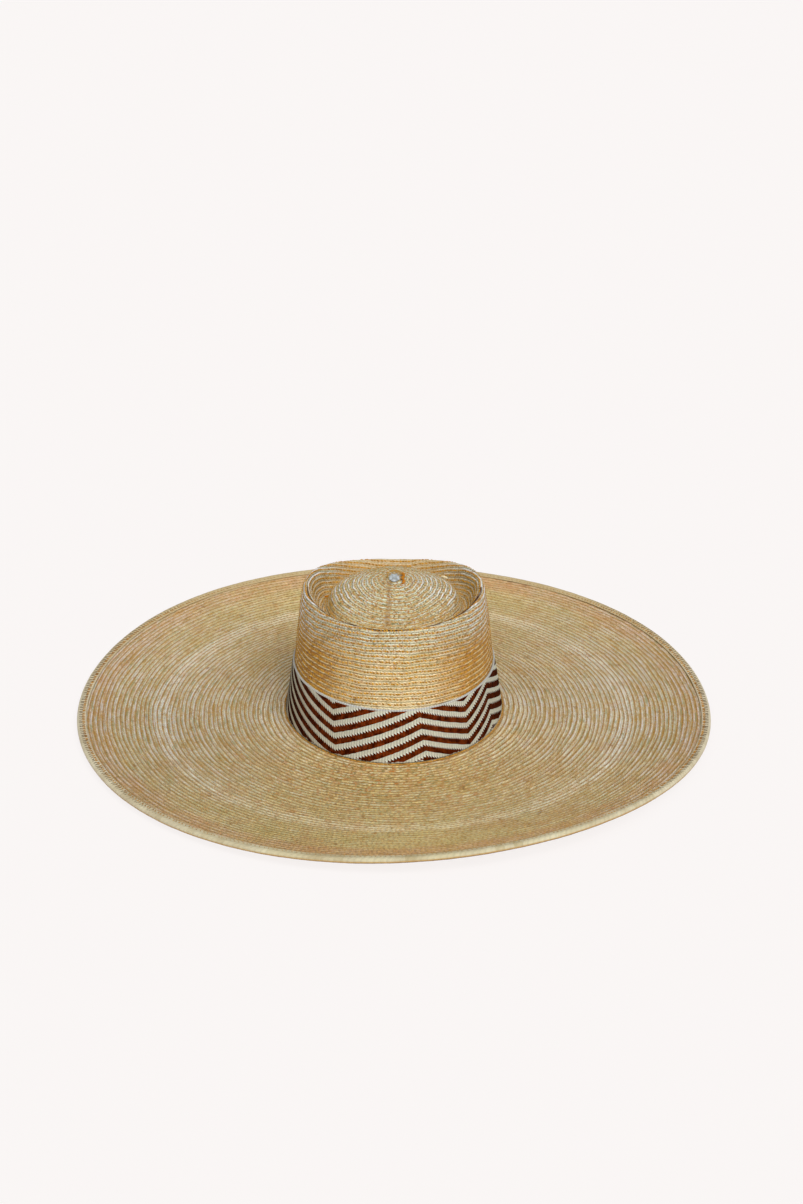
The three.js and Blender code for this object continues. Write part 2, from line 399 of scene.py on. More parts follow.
# %% [markdown]
# ## The brim of braid
# The brim goes on with the same braid, row after row, from the crown's foot to the cut edge. Only the
# surface it is blocked on differs, so the same coil makes it. Its underside stays even, because that is
# what the hat rests on.

# %% Coil and block the brim
BRIM_ROWS = 46
BRIM_STEPS = 288
BRIM_PITCH = (BRIM_CUT - BRIM_INNER) / BRIM_ROWS
brim_girth = girths(brim_surface, [BRIM_INNER + row * BRIM_PITCH for row in range(BRIM_ROWS + 2)])
print("braid in the brim, m:", round(brim_girth[1:-1].sum() * MM, 1), "at a pitch of", round(BRIM_PITCH, 2))
brim_lift = waver_of((4, 7, 12, 19, 31), (0.1, 0.1, 0.08, 0.06, 0.05))
brim_sway = waver_of((3, 5, 9, 17, 29), (0.08, 0.07, 0.06, 0.045, 0.035))


def brim_place(row, turn, thick):
    """Where a point of the brim's coil lies, in millimetres."""
    angle = 2 * np.pi * turn
    spiral = np.clip(row + turn, 0, BRIM_ROWS)
    calm = fade_at_ends(spiral, BRIM_ROWS)
    out = BRIM_INNER + BRIM_PITCH * (spiral + calm * brim_sway(spiral, angle))
    normal = square_to(brim_surface, out, angle, 0.5)
    lift = straw_level(thick, calm) + calm * np.where(thick > -1, brim_lift(spiral, angle), 0)
    return brim_surface(out, angle) + normal * lift[:, None]


brim_braid = coil("brim_braid", row_outline(BRIM_ROWS), BRIM_STEPS, brim_place,
                  unroll_of(brim_girth, BRIM_ROWS), [("rows_out", rows_from_tip(BRIM_ROWS))])

# %% [markdown]
# ## The sewing
# A chain of golden thread holds every row. Each stitch shows as a short slanted grain, a little sunk in
# the groove it pulls. There are many thousands, and thousands of objects would be slow, so a single
# grain of very few faces is made once and its copies are laid along the rows and joined into one mesh
# for the crown and one for the brim. A few stitches are left out, where the thread has slipped under.

# %% One stitch, and a way to lay many
def grain_of_thread(segments, rings, length, width, height):
    """A small rounded grain lying along X, as vertex and face arrays."""
    bm = bmesh.new()
    bmesh.ops.create_uvsphere(bm, u_segments=segments, v_segments=rings, radius=0.5)
    bmesh.ops.rotate(bm, verts=bm.verts, cent=(0, 0, 0), matrix=Matrix.Rotation(math.pi / 2, 3, "Y"))
    bmesh.ops.scale(bm, verts=bm.verts, vec=(length, width, height))
    bmesh.ops.triangulate(bm, faces=bm.faces)
    verts = np.array([v.co for v in bm.verts])
    faces = np.array([[v.index for v in face.verts] for face in bm.faces])
    bm.free()
    return verts, faces


def lay_copies(name, grain, spots, along, across, up, tint):
    """Joins copies of a grain, one for each spot and its three directions, with a tint for each."""
    verts, faces = grain
    axes = np.stack([along, across, up], 1)
    points = spots[:, None, :] + np.einsum("vk,nkx->nvx", verts, axes)
    corners = faces[None] + (np.arange(len(spots)) * len(verts))[:, None, None]
    mesh = bpy.data.meshes.new(name)
    mesh.from_pydata((points * MM).reshape(-1, 3).tolist(), [], corners.reshape(-1, 3).tolist())
    values = np.repeat(tint, len(verts)).astype(np.float32)
    mesh.attributes.new("tint", "FLOAT", "POINT").data.foreach_set("value", values)
    return shown(name, mesh)


# %% Lay the stitches along the rows
STITCH_PITCH = 3.0
STITCH_LEVEL = 0.05
STITCH_HIDDEN = 0.05
STITCH_SLANT = math.radians(34)
LAST_CROWN_STITCH, LAST_BRIM_STITCH = 40.4, BRIM_ROWS - 1.6


def unit(directions):
    return directions / np.linalg.norm(directions, axis=-1, keepdims=True)


def leaning(ahead, up, slant, spread):
    """Directions along, across and up for stitches that lean, each a little its own way, and tints."""
    down = np.cross(ahead, up)
    lean = slant + chance.normal(0, spread, len(ahead))[:, None]
    along = ahead * np.cos(lean) + down * np.sin(lean)
    return along, np.cross(up, along), up, chance.uniform(0, 1, len(ahead))


def stitch_line(rows, girth, place, last):
    """Spots, directions and tints for stitches along rows of a spiral."""
    row, turn = [], []
    for number in rows:
        count = int(girth[number] / STITCH_PITCH)
        row.append(number + STITCH_SHARE + chance.normal(0, 0.035, count))
        turn.append((np.arange(count) + chance.uniform(0.2, 0.8, count)) / count)
    row, turn = np.concatenate(row), np.concatenate(turn)
    keep = (row + turn < last) & (chance.uniform(0, 1, len(row)) > STITCH_HIDDEN)
    row, turn = row[keep], turn[keep]
    level = np.full(len(row), STITCH_LEVEL)
    ahead = unit(place(row, turn + 0.002, level) - place(row, turn - 0.002, level))
    down = place(row + 0.05, turn, level) - place(row - 0.05, turn, level)
    return place(row, turn, level), *leaning(ahead, unit(np.cross(down, ahead)), STITCH_SLANT, 0.12)


crown_stitches = lay_copies("crown_stitches", grain_of_thread(5, 3, 2.1, 1.3, 1.0),
                            *stitch_line(range(1, 41), crown_girth, crown_place, LAST_CROWN_STITCH))
brim_stitches = lay_copies("brim_stitches", grain_of_thread(4, 2, 2.6, 1.1, 0.75),
                           *stitch_line(range(0, 45), brim_girth, brim_place, LAST_BRIM_STITCH))

# %% [markdown]
# ## The folded edge
# The brim's last row is a braid folded over the cut edge and sewn through. Its cross-section is a
# rounded clip with two leaves that hold the brim, so one outline and the same spin make it. A bevelled
# copy of the last row would be quicker, but it would not close round the edge. The upper leaf is sewn
# down with the golden thread, and small cross stitches tie it over the edge. The same kind of line runs
# round the crown's foot, where the brim is sewn on.

# %% Fold the edge braid
EDGE_STEPS = 624
EDGE_OUTLINE = [
    # distance out, height over the brim's upper face
    (157.0, 0.25), (156.7, 0.8), (157.1, 1.25), (158.0, 1.3), (158.8, 1.05), (159.6, 1.25),
    (161.0, 1.4), (162.3, 1.2), (163.2, 0.6), (163.7, -0.1), (163.85, -0.8), (163.7, -1.6),
    (163.2, -2.3), (162.2, -2.75), (160.8, -2.9), (159.4, -2.75), (158.0, -2.85), (157.5, -2.4),
    (157.8, -1.9), (162.6, -1.9), (162.6, 0.25),
]
EDGE_SEWN, EDGE_FREE = 156.5, 2
EDGE_RIPPLE, EDGE_PLAIT = 0.03, 5.2
edge_girth = float(brim_girth[-1])
edge_waver = waver_of((9, 23, 57, 131), (0.1, 0.08, 0.07, 0.06))


def edge_place(row, turn, thick):
    """Where a point of the edge lies: it follows the brim, rippled and wavering where it is free."""
    angle = 2 * np.pi * turn
    ground = brim_surface(row, angle)
    normal = square_to(brim_surface, row, angle, 0.5)
    free = np.clip((row - EDGE_SEWN) / EDGE_FREE, 0, 1) * np.sign(thick + WALL_THICK / 2)
    ripple = EDGE_RIPPLE * np.sin(2 * np.pi * edge_girth * turn / EDGE_PLAIT + 0.9 * row)
    return ground + normal * (thick + free * (ripple + 0.5 * edge_waver(row, angle)))[:, None]


edge_braid = coil("edge_braid", EDGE_OUTLINE, EDGE_STEPS, edge_place,
                  lambda row, turn, middle: (turn * edge_girth * MM, (row - 156) / 8 + 2),
                  [("under", lambda row, turn, thick: np.clip(-thick / 2.9, 0, 1))])


# %% Sew the edge and the crown's foot
STITCH_SINK = 0.5


def ring_stitch_line(girth, out, level, pitch, slant):
    """Stitches all round at one distance out, pulled in deeper at the hat's front and back."""
    count = int(girth / pitch)
    turn = (np.arange(count) + chance.uniform(0.3, 0.7, count)) / count
    row, angle = np.full(count, out), 2 * np.pi * turn
    sunk = STITCH_SINK * np.clip((np.abs(np.sin(angle)) - 0.6) / 0.3, 0, 1)
    ahead = unit(brim_surface(row, angle + LOOK_ALONG) - brim_surface(row, angle - LOOK_ALONG))
    up = square_to(brim_surface, row, angle, 0.5)
    return edge_place(row, turn, level - sunk), *leaning(ahead, up, slant, 0.15)


edge_stitches = lay_copies("edge_stitches", grain_of_thread(5, 3, 2.9, 1.3, 1.0),
                           *ring_stitch_line(edge_girth, 158.8, 1.45, 3.3, math.radians(62)))
edge_ties = lay_copies("edge_ties", grain_of_thread(5, 3, 3.4, 0.9, 0.6),
                       *ring_stitch_line(edge_girth, 160.9, 1.42, 3.3, math.radians(74)))
foot_stitches = lay_copies("foot_stitches", grain_of_thread(5, 3, 3.3, 1.2, 1.3),
                           *ring_stitch_line(brim_girth[1], 2.35, 0.95, 2.9, math.radians(12)))

# %% [markdown]
# ## The woven band
# The band is a strip of cloth 42 mm wide, woven on a narrow loom in off-white with a red-brown zigzag.
# Its warp shows as upright ribs just over two millimetres apart. Each rib is modelled, four columns of
# faces to a rib. The zigzag could be an image laid on the cloth. Here a table gives the height of one
# stripe at its bends instead, and every vertex carries its own place between two stripes for the cloth's
# material to read, so the stripes stay sharp and can be changed by hand.

# %% Zigzag of the band
BAND_PERIOD = 8.85
ZIGZAG = [
    # along the band from the front centre, height of one stripe there, lean of the bend
    (-287.3, 28.0, 0.1), (-252, 39.5, 0.1), (-210, 24.0, 0.1), (-165, 40.5, 0.1), (-118, 22.5, 0.15),
    (-48.7, 1.7, 0.18), (22, 28.8, 0.14), (62.7, 13.9, 0.07), (98, 28.2, 0.07), (150, 9.2, 0.1),
    (190, 25.0, 0.1), (235, 8.4, 0.1), (287.3, 28.0, 0.1),
]
BEND_LEVEL = 20  # where the table's bends are read, in mm up the band
WHOLE_STRIPES = 10  # keeps the count of stripes above nothing
BAND_LENGTH, BAND_HEIGHT = 574.6, 42.0
RIBS = 264
BAND_STEPS = RIBS * 4
BAND_INSET = 2.5  # half way up, the taper has brought the band in by this much
band_angle = np.linspace(0, 2 * np.pi, 1441)
band_path = np.stack([(CROWN_HALF_WIDTH - BAND_INSET) * np.cos(band_angle),
                      (CROWN_HALF_LENGTH - BAND_INSET) * np.sin(band_angle)], -1)
band_run = np.concatenate([[0], np.cumsum(np.linalg.norm(np.diff(band_path, axis=0), axis=-1))])
band_run *= BAND_LENGTH / band_run[-1]


def along_band(angle):
    """Millimetres along the band from the front centre, from an angle."""
    from_front = np.interp(angle % (2 * np.pi), band_angle, band_run) - 0.75 * BAND_LENGTH
    return (from_front + BAND_LENGTH / 2) % BAND_LENGTH - BAND_LENGTH / 2


def stripe_phase(row, turn, thick):
    """How far a point of the band is above a stripe, counted in stripes."""
    at = along_band(2 * np.pi * band_turn(turn))
    bends = np.array([along + lean * (BEND_LEVEL - row) for along, _, lean in ZIGZAG])
    heights = [height for _, height, _ in ZIGZAG]
    stripe = np.array([np.interp(at[k], bends[:, k], heights) for k in range(len(row))])
    return (row - stripe) / BAND_PERIOD + WHOLE_STRIPES


print("ribs in the band:", RIBS, "at", round(BAND_LENGTH / RIBS, 2), "mm")


# %% Weave the band
TAPER_SIDE, TAPER_FRONT, TAPER_BACK = CROWN_RINGS[1][:3]
TAPER_HEIGHT = 41.7
RIB_RISE, RIB_FOOT = 0.13, 0.07
SELVAGE = (0.9, 41.2)


def band_turn(turn):
    """Steps of equal length round the oval, starting at the join behind the crown."""
    from_join = (turn + 0.25) % 1 * BAND_LENGTH
    return np.interp(from_join, band_run, band_angle) / (2 * np.pi)


def band_place(row, turn, thick):
    """Where a point of the band lies: on the crown's taper, ribbed, and a little slack."""
    angle = 2 * np.pi * band_turn(turn)
    share = row / TAPER_HEIGHT
    taper_length = np.where(np.sin(angle) < 0, TAPER_FRONT, TAPER_BACK)
    rib = RIB_RISE * np.abs(np.sin(np.pi * RIBS * turn)) - RIB_FOOT
    slack = 0.16 * np.sin(5 * angle + 1) * np.sin(np.pi * share) + 0.1 * np.sin(11 * angle + 0.13 * row)
    selvage = np.where((row < SELVAGE[0]) | (row > SELVAGE[1]), 0.5, 1)
    off = thick + np.where(thick > 1, rib * selvage + slack, 0)
    x = CROWN_HALF_WIDTH + share * (TAPER_SIDE - CROWN_HALF_WIDTH) + off
    y = CROWN_HALF_LENGTH + share * (taper_length - CROWN_HALF_LENGTH) + off
    z = CROWN_FOOT + row + 0.25 * np.sin(3 * angle + 2) * share
    return np.stack([x * np.cos(angle), y * np.sin(angle), z], -1)


band_rows = np.linspace(1.6, 41.4, 18)
band_outline = ([(0.8, 1.1), (1.0, 1.55)] + [(round(float(h), 3), 1.72) for h in band_rows]
                + [(41.8, 1.6), (42.1, 1.2), (42.0, 0.45), (21.0, 0.35), (0.9, 0.45)])
hat_band = coil("hat_band_cloth", band_outline, BAND_STEPS, band_place,
                lambda row, turn, middle: (turn * BAND_LENGTH * MM, row * MM),
                [("stripe", stripe_phase)])

# %% [markdown]
# ## The knot at the tip
# The braid starts from a small plaited knot. Six flat straws cross over and under each other, three
# each way, and the middle ones reach furthest. A plain button would look solid from close by, so each
# straw is a grid bent by a cosine, which takes it over one neighbour and under the next, and is then
# given a thickness.

# %% Plait the knot
KNOT_HALF = 3.9
KNOT_LONG = 1.2
KNOT_TILT = math.radians(14)
KNOT_SPOT = (0.3, -0.6, 113.2)
STRAW_WIDTH, STRAW_THICK = 2.4, 0.34
STRAW_GAP = 2.65
STRAW_RISE, STRAW_DROP, STRAW_ROUND = 0.42, 0.7, 0.1
OUTER_STRAW = 0.58
knot_mesh = bmesh.new()
for way in range(2):
    for number in (-1, 0, 1):
        straw = bmesh.new()
        bmesh.ops.create_grid(straw, x_segments=20, y_segments=4, size=0.5)
        for v in straw.verts:
            x = v.co.x * 2 * KNOT_HALF * (OUTER_STRAW if number else 1)
            y = v.co.y * STRAW_WIDTH
            over = 1 if (way + number) % 2 == 0 else -1
            wave = STRAW_RISE * over * math.cos(math.pi * x / STRAW_GAP)
            end_drop = STRAW_DROP * (abs(x) / KNOT_HALF) ** 6
            rounding = STRAW_ROUND * (2 * v.co.y) ** 2 * STRAW_WIDTH
            v.co = Vector((x, y + number * STRAW_GAP, wave - end_drop - rounding))
        bmesh.ops.solidify(straw, geom=straw.faces[:], thickness=STRAW_THICK)
        if way:
            bmesh.ops.rotate(straw, verts=straw.verts, cent=(0, 0, 0),
                             matrix=Matrix.Rotation(math.pi / 2, 3, "Z"))
        part = bpy.data.meshes.new("straw")
        straw.to_mesh(part)
        straw.free()
        knot_mesh.from_mesh(part)
        bpy.data.meshes.remove(part)
bmesh.ops.recalc_face_normals(knot_mesh, faces=knot_mesh.faces)
bmesh.ops.scale(knot_mesh, verts=knot_mesh.verts, vec=(MM, MM * KNOT_LONG, MM))
bmesh.ops.rotate(knot_mesh, verts=knot_mesh.verts, cent=(0, 0, 0),
                 matrix=Matrix.Rotation(KNOT_TILT, 3, "X"))
bmesh.ops.translate(knot_mesh, verts=knot_mesh.verts, vec=[place * MM for place in KNOT_SPOT])
knot_data = bpy.data.meshes.new("start_knot")
knot_mesh.to_mesh(knot_data)
knot_mesh.free()
start_knot = shown("start_knot", knot_data)


# %% [markdown]
# ## Loose thread and straw at the tip
# A twisted pair of sewing threads runs past the knot on its right, and one thread lies round it. A
# short end hangs in the dent on the left, and an end of straw sticks out of a row on the right. A curve
# with a bevel would do, but these are short, so circles bridged along a few points make them directly
# as closed meshes.

# %% Tubes along a few points
def tube(name, points, radius, sides=8):
    """A closed tube through points in mm, tapered at both ends."""
    bm = bmesh.new()
    path = [Vector(p) * MM for p in points]
    rings = []
    for index, spot in enumerate(path):
        ahead = (path[min(index + 1, len(path) - 1)] - path[max(index - 1, 0)]).normalized()
        turn_to = ahead.to_track_quat("Z", "Y").to_matrix().to_4x4()
        thick = radius * MM * (0.6 if index in (0, len(path) - 1) else 1)
        made = bmesh.ops.create_circle(bm, cap_ends=False, segments=sides, radius=thick,
                                       matrix=Matrix.Translation(spot) @ turn_to)
        rings.append(made["verts"])
    for a, b in zip(rings, rings[1:]):
        edges = [e for e in bm.edges if all(v in a for v in e.verts) or all(v in b for v in e.verts)]
        bmesh.ops.bridge_loops(bm, edges=edges)
    for ring in (rings[0], rings[-1]):
        bmesh.ops.contextual_create(bm, geom=[e for e in bm.edges if all(v in ring for v in e.verts)])
    bmesh.ops.recalc_face_normals(bm, faces=bm.faces)
    mesh = bpy.data.meshes.new(name)
    bm.to_mesh(mesh)
    bm.free()
    return shown(name, mesh)


def strand(path, twists, offset, begin):
    """Points of one strand of a twisted pair along a path of points."""
    shade_lines = np.linspace(0, 1, twists * 6 + 1)
    spine = np.array(path, float)
    at = np.linspace(0, 1, len(spine))
    middle = np.stack([np.interp(shade_lines, at, spine[:, axis]) for axis in range(3)], -1)
    turn = 2 * np.pi * twists * shade_lines + begin
    return middle + offset * np.stack([np.cos(turn), 0 * turn, np.sin(turn)], -1)


TIP_PATH = [
    (6.4, -8.5, 110.9), (7.6, -5.5, 112.1), (6.2, -2.0, 113.0),
    (7.8, 2.0, 113.6), (6.4, 6.0, 113.3), (7.4, 9.5, 112.0),
]
KNOT_PATH = [
    (-4.9, 1.5, 112.4), (-4.6, 4.6, 114.4), (-2.2, 6.3, 115.3),
    (1.5, 6.6, 115.5), (4.6, 5.6, 115.0), (6.3, 3.0, 113.6),
]
tip_threads = [tube(f"tip_thread_{way}", strand(TIP_PATH, 3, 0.7, way * math.pi), 0.6) for way in (0, 1)]
knot_thread = tube("knot_thread", KNOT_PATH, 0.5)
moat_thread = tube("moat_thread", [(-54.0, 18.0, 88.9), (-52.3, 18.7, 89.0), (-50.9, 19.4, 88.8)], 0.8)
straw_end = tube("straw_end", [(36.6, 19.4, 105.6), (39.0, 18.6, 105.5), (41.4, 17.4, 104.9)], 0.9)

# %% [markdown]
# ## Materials
# Node trees get long, so a small class keeps them readable. It holds a tree, and each of its methods
# adds one usual node, links or sets its inputs, and gives its result. A finish then reads as a list of
# plain sentences: take this noise, make a range of it, and blend this colour in by it. Colours are
# written as 8-bit values, which are easy to judge by eye, and turned into linear ones on the way in.

# %% A node tree with short words for its nodes
def paint(colour):
    """An 8-bit colour as the linear colour that shaders use. A node's result stays as it is."""
    if isinstance(colour, bpy.types.NodeSocket):
        return colour
    channel = [c / 255 for c in colour]
    return (*(c / 12.92 if c <= 0.04045 else ((c + 0.055) / 1.055) ** 2.4 for c in channel), 1)


class Nodes:
    """A node tree whose methods add one node and give its result."""

    def __init__(self, tree):
        self.tree = tree

    def add(self, kind, inputs=None, **settings):
        """Adds any node, sets its properties, and links or sets its inputs by name or number."""
        new = self.tree.nodes.new(kind)
        for key, value in settings.items():
            setattr(new, key, value)
        for key, value in (inputs or {}).items():
            if isinstance(value, bpy.types.NodeSocket):
                self.tree.links.new(value, new.inputs[key])
            else:
                new.inputs[key].default_value = value
        return new

    def sums(self, operation, *values):
        return self.add("ShaderNodeMath", dict(enumerate(values)), operation=operation).outputs[0]

    def times(self, first, second):
        return self.sums("MULTIPLY", first, second)

    def plus(self, first, second):
        return self.sums("ADD", first, second)

    def scaled(self, value, factor, rest):
        return self.sums("MULTIPLY_ADD", value, factor, rest)

    def rest_of(self, value):
        return self.sums("SUBTRACT", 1.0, value)

    def rise(self, value, start, end, low=0.0, high=1.0, **settings):
        """Goes from low to high while the value goes from start to end."""
        limits = {0: value, 1: start, 2: end, 3: low, 4: high}
        return self.add("ShaderNodeMapRange", limits, **settings).outputs[0]

    def noise(self, spot, scale, detail=2.0):
        inputs = {"Vector": spot, "Scale": scale, "Detail": detail}
        return self.add("ShaderNodeTexNoise", inputs).outputs[0]

    def random(self, number):
        return self.add("ShaderNodeTexWhiteNoise", {"W": number}, noise_dimensions="1D").outputs[0]

    def spot(self):
        return self.add("ShaderNodeTexCoord").outputs["Object"]

    def measure(self, name):
        return self.add("ShaderNodeAttribute", attribute_name=name).outputs["Fac"]

    def braid_uv(self):
        return self.parts(self.add("ShaderNodeUVMap", uv_map="braid").outputs[0])

    def parts(self, vector):
        return self.add("ShaderNodeSeparateXYZ", {0: vector}).outputs[:]

    def joined(self, x, y, z=0.0):
        return self.add("ShaderNodeCombineXYZ", {0: x, 1: y, 2: z}).outputs[0]

    def blend(self, factor, first, second, kind="MIX"):
        colours = {0: factor, 6: paint(first), 7: paint(second)}
        return self.add("ShaderNodeMix", colours, data_type="RGBA", blend_type=kind).outputs[2]

    def ramp(self, factor, stops):
        """A colour ramp from a table of places and colours."""
        ramp = self.add("ShaderNodeValToRGB", {0: factor})
        points = ramp.color_ramp.elements
        for index, (at, colour) in enumerate(stops):
            point = points[index] if index < 2 else points.new(at)
            point.position = at
            point.color = paint(colour)
        return ramp.outputs[0]

    def shaded(self, colour, shade):
        """The colour made lighter or darker by a measure."""
        grey = self.add("ShaderNodeCombineColor", {0: shade, 1: shade, 2: shade}).outputs[0]
        return self.blend(1.0, colour, grey, "MULTIPLY")


# %% A group of nodes, and a new material
def group(name, inputs, outputs):
    """A node group of plain numbers: its nodes, its input sockets and its output sockets."""
    tree = bpy.data.node_groups.new(name, "ShaderNodeTree")
    number = {"socket_type": "NodeSocketFloat"}
    for label, value in inputs.items():
        tree.interface.new_socket(label, in_out="INPUT", **number).default_value = value
    for label in outputs:
        tree.interface.new_socket(label, in_out="OUTPUT", **number)
    return Nodes(tree), tree.nodes.new("NodeGroupInput").outputs, tree.nodes.new("NodeGroupOutput").inputs


def new_material(name):
    """A new material with a Principled shader: the material, its nodes and the shader's inputs."""
    made = bpy.data.materials.new(name)
    made.use_nodes = True
    tree = made.node_tree
    tree.nodes.clear()
    shader = tree.nodes.new("ShaderNodeBsdfPrincipled")
    output = tree.nodes.new("ShaderNodeOutputMaterial")
    tree.links.new(shader.outputs[0], output.inputs[0])
    return made, Nodes(tree), shader.inputs


def finish(made, nodes, surface, colour, roughness, height, strength, deep, shine):
    """Links the last results of a finish to its shader, and gives the material. The bump is in metres."""
    bump = nodes.add("ShaderNodeBump", {"Height": height, "Strength": strength, "Distance": deep})
    for label, result in (("Base Color", colour), ("Roughness", roughness), ("Normal", bump.outputs[0])):
        nodes.tree.links.new(result, surface[label])
    surface["Specular IOR Level"].default_value = shine
    print(f"{made.name}: {len(nodes.tree.nodes)} nodes")
    return made


# %% [markdown]
# ### Palm plait
# The braid is plaited from strips of palm leaf that run at a slant, one way on one side of the sewing
# and the other way past it. An image would have to be painted and fitted to every row, so a node group
# works it out instead, from how far along and across the braid a point is. It gives each strip, and
# each of the longer leaves, its own tint and shades the strip's rounded section. It marks three lines
# of a row: the painted shadow in the step to the next row, the groove of the sewing, and a painted
# highlight along the high part of the row. Leaf fibres run along each strip as fine streaks.

# %% The plait group
# Where across a row the painted highlight is brightest.
HIGHLIGHT_SHARE = 0.76
STRIP_SHIFT, LEAF_SHIFT = 0.37, 0.618
STRIP_SEED, LEAF_SEED = 71.0, 131.0
plait, plait_in, plait_out = group(
    "palm plait",
    {"Along": 0, "Row": 0, "Strip Width": 0.0034, "Slant": 3.0, "Leaf Length": 0.0065},
    ["Strip Tint", "Leaf Tint", "Strip Height", "Step Shadow", "Thread Line", "Highlight Line", "Fibre"])
across_row = plait.sums("FRACT", plait_in["Row"])
row_number = plait.sums("FLOOR", plait_in["Row"])
from_thread = plait.sums("ABSOLUTE", plait.sums("SUBTRACT", across_row, STITCH_SHARE))
past_thread = plait.sums("GREATER_THAN", across_row, STITCH_SHARE)
strip_place = plait.plus(plait.sums("DIVIDE", plait_in["Along"], plait_in["Strip Width"]),
                         plait.times(from_thread, plait_in["Slant"]))
strip_place = plait.plus(strip_place, plait.times(row_number, STRIP_SHIFT))
strip_number = plait.plus(plait.sums("FLOOR", strip_place),
                          plait.scaled(row_number, STRIP_SEED, past_thread))
leaf_place = plait.plus(plait.sums("DIVIDE", plait_in["Along"], plait_in["Leaf Length"]),
                        plait.times(row_number, LEAF_SHIFT))
leaf_number = plait.plus(plait.sums("FLOOR", leaf_place), plait.times(row_number, LEAF_SEED))
rounded = plait.sums("SINE", plait.times(plait.sums("FRACT", strip_place), math.pi))
soft = {"interpolation_type": "SMOOTHSTEP"}
# The step line is a painted shadow under the edge of the row above.
step_shadow = plait.sums("MAXIMUM", plait.rise(across_row, 0.12, 0.0, **soft),
                       plait.rise(across_row, 0.95, 1.0))
from_highlight = plait.sums("ABSOLUTE", plait.sums("SUBTRACT", across_row, HIGHLIGHT_SHARE))
fibre_place = plait.joined(plait.times(strip_place, 5.0), plait.times(across_row, 2.0), strip_number)
for label, result in (("Strip Tint", plait.random(strip_number)), ("Leaf Tint", plait.random(leaf_number)),
                      ("Strip Height", plait.sums("POWER", rounded, 0.6)), ("Step Shadow", step_shadow),
                      ("Thread Line", plait.rise(from_thread, 0.24, 0.12, **soft)),
                      ("Highlight Line", plait.rise(from_highlight, 0.22, 0.08, **soft)),
                      ("Fibre", plait.noise(fibre_place, 1.0))):
    plait.tree.links.new(result, plait_out[label])
print("palm plait:", len(plait.tree.nodes), "nodes")


# %% [markdown]
# ### The leaf of crown and brim
# The maker changed to greener, redder and paler leaf as the braid ran out, so a colour ramp over the
# row number holds zones of colour. Each strip and each leaf then takes its own colour from a mix. A
# slow noise brings in green and rust, short flecks speckle the plait, long streaks show at the hat's
# sides, where one looks along the braid, and a few brown stains remain. Every choice for crown and brim
# stands in a table of its own, so one function serves both.

# %% Colours of the leaf
CROWN_LEAF_MIX = [
    # share of the leaves up to here, colour
    (0.0, (190, 134, 66)), (0.2, (212, 180, 124)), (0.4, (228, 214, 180)), (0.6, (206, 200, 174)),
    (0.78, (232, 228, 208)), (1.0, (244, 248, 242)),
]
BRIM_LEAF_MIX = [
    (0.0, (166, 120, 70)), (0.14, (182, 146, 96)), (0.3, (196, 176, 132)), (0.5, (192, 184, 150)),
    (0.66, (146, 154, 124)), (0.8, (206, 208, 202)), (1.0, (228, 230, 226)),
]
CROWN_ZONES = [
    # share of the rows from the tip out, colour
    (0.0, (218, 238, 236)), (0.2, (212, 222, 206)), (0.28, (206, 160, 84)), (0.4, (200, 150, 76)),
    (0.455, (240, 238, 230)), (0.5, (246, 242, 230)), (0.62, (252, 236, 190)), (1.0, (254, 240, 194)),
]
BRIM_ZONES = [
    (0.0, (248, 232, 204)), (0.03, (246, 228, 194)), (0.06, (252, 244, 212)), (0.13, (248, 240, 206)),
    (0.18, (214, 206, 170)), (0.36, (212, 207, 176)), (0.555, (212, 208, 182)), (0.59, (240, 242, 232)),
    (0.635, (244, 248, 240)), (0.665, (206, 200, 166)), (0.84, (206, 198, 160)), (0.88, (208, 178, 152)),
    (0.95, (208, 176, 152)), (1.0, (194, 168, 136)),
]
LEAF_PATCHES = [
    # noise where it starts, noise where it is full, colour
    (0.52, 0.7, (164, 154, 90)), (0.46, 0.3, (184, 132, 92)),
]
SHORT_FLECKS = [
    # a metre of braid, a row, seed, noise where it starts, noise where it is full, colour
    (230.0, 1.7, 0.0, 0.46, 0.36, (188, 122, 58)), (230.0, 1.7, 0.0, 0.54, 0.64, (230, 212, 166)),
    (230.0, 1.7, 7.0, 0.44, 0.36, (130, 124, 80)),
]
LONG_STREAKS = [
    (36.0, 1.3, 3.0, 0.48, 0.34, (182, 142, 68)), (36.0, 1.3, 3.0, 0.53, 0.66, (212, 204, 198)),
    (60.0, 1.3, 5.0, 0.44, 0.34, (152, 154, 112)),
]
PATCH_STRENGTH = 0.35
STAIN_COLOUR = (126, 88, 48)


# %% What a point of the braid knows
def side_of_hat(nodes, spot):
    """A measure that is one at the hat's sides and nothing at its front and back, and the depth."""
    parts = nodes.parts(spot)
    across, along = (nodes.times(part, part) for part in parts[:2])
    share = nodes.sums("DIVIDE", across, nodes.plus(nodes.plus(across, along), 0.0002))
    return share, parts[1]


def read_braid(nodes, rows, look):
    """The measures that all parts of the braid's finish read."""
    along, row, _ = nodes.braid_uv()
    spot = nodes.spot()
    drift = nodes.times(nodes.sums("SUBTRACT", nodes.noise(spot, 16.0, 3.0), 0.5), 0.03)
    place = nodes.plus(nodes.sums("DIVIDE", nodes.measure("rows_out"), float(rows)), drift)
    inputs = {"Along": along, "Row": row, "Leaf Length": look["leaf_length"]}
    plaited = nodes.add("ShaderNodeGroup", inputs, node_tree=plait.tree)
    sideways, depth = side_of_hat(nodes, spot)
    outer = nodes.rise(place, 0.05, 0.75, -look["lively"], look["calm"])
    lively = nodes.rest_of(nodes.times(outer, nodes.rest_of(sideways)))
    return SimpleNamespace(
        along=along, row=row, spot=spot, place=place, plait=plaited.outputs, sideways=sideways, depth=depth,
        lively=lively, short=nodes.times(lively, nodes.scaled(sideways, -look["settled"], 1.0)),
        speck=nodes.noise(spot, 130.0),
        wall=nodes.rise(place, look["wall_from"], look["wall_from"] + 0.1))


